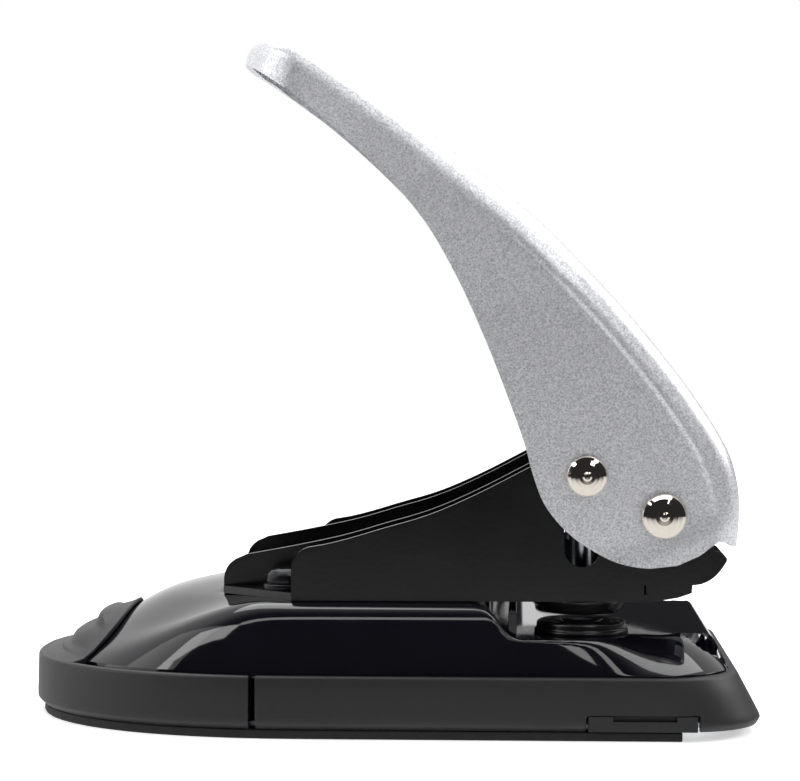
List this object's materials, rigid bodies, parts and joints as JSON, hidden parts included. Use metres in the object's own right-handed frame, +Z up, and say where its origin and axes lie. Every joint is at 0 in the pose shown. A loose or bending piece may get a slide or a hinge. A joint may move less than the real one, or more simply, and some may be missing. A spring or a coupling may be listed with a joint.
{
  "type": "two-hole paper punch",
  "caption": "Heavy-duty office paper punch with a long sheet-metal lever, punching brackets on a domed base, a chip drawer and a sliding paper guide.",
  "frame": {"origin": "centre of the whole part's box on the surface that it stands on, under the middle of the base", "axes": "+Z up, +X towards the side where paper enters, so the drawer's thumb tongue points to -X; Y is along the lever's axle, and the paper guide slides out to -Y"},
  "size_m": [0.201, 0.13, 0.1864],
  "materials": {
    "matt_plastic": "fine moulded grain, matt black-grey ABS",
    "gloss_plastic": "high-gloss black ABS",
    "mat_rubber": "plain moulded rubber",
    "black_paint": "satin-gloss black enamel",
    "silver_paint": "silver metallic lacquer with fine flake",
    "nickel_rivet": "polished nickel",
    "tool_steel": "ground tool steel",
    "spring_steel": "oiled spring wire",
    "plated_steel": "zinc-plated sheet steel",
    "black_steel": "blacked steel"
  },
  "bodies": {
    "base": {"floor_plate": "plated_steel", "rubber_mat": "mat_rubber", "base_skirt": "matt_plastic", "chassis": "plated_steel", "top_cover": "gloss_plastic", "paper_stop": "gloss_plastic", "base_screws": "plated_steel", "right_die_seat": "black_paint", "left_die_seat": "black_paint", "right_die": "tool_steel", "left_die": "tool_steel", "right_bracket": "black_paint", "left_bracket": "black_paint", "right_guide_bush": "black_paint", "left_guide_bush": "black_paint", "bracket_washers": "black_steel", "bracket_screws": "black_steel", "pivot_axle": "nickel_rivet", "pivot_spacer": "plated_steel", "right_return_spring": "spring_steel", "left_return_spring": "spring_steel"},
    "lever": {"lever": "silver_paint", "drive_rod": "nickel_rivet"},
    "right_pin": {"right_punch_pin": "tool_steel", "right_pin_stirrup": "plated_steel"},
    "left_pin": {"left_punch_pin": "tool_steel", "left_pin_stirrup": "plated_steel"},
    "drawer": {"chip_drawer": "matt_plastic"},
    "guide": {"paper_guide": "matt_plastic"}
  },
  "joints": [
    {"name": "lever_hinge", "type": "hinge", "parent": "base", "child": "lever", "pos_m": [0.0741, 0, 0.058], "axis": [0, -1, 0], "range_deg": [0, 40], "stiffness_Nm_per_rad": 1.5, "springref_deg": -20.05, "deforming": ["right_return_spring", "left_return_spring"]},
    {"name": "right_pin_slide", "type": "slide", "parent": "base", "child": "right_pin", "axis": [0, 0, -1], "range_m": [0, 0.0156]},
    {"name": "left_pin_slide", "type": "slide", "parent": "base", "child": "left_pin", "axis": [0, 0, -1], "range_m": [0, 0.0156]},
    {"name": "drawer_slide", "type": "slide", "parent": "base", "child": "drawer", "axis": [-1, 0, 0], "range_m": [0, 0.1]},
    {"name": "guide_slide", "type": "slide", "parent": "base", "child": "guide", "axis": [0, -1, 0], "range_m": [0, 0.09]}
  ],
  "couplings": [
    {"joint": "right_pin_slide", "follows": "lever_hinge", "m_per_rad": 0.02212},
    {"joint": "left_pin_slide", "follows": "lever_hinge", "m_per_rad": 0.02212}
  ]
}
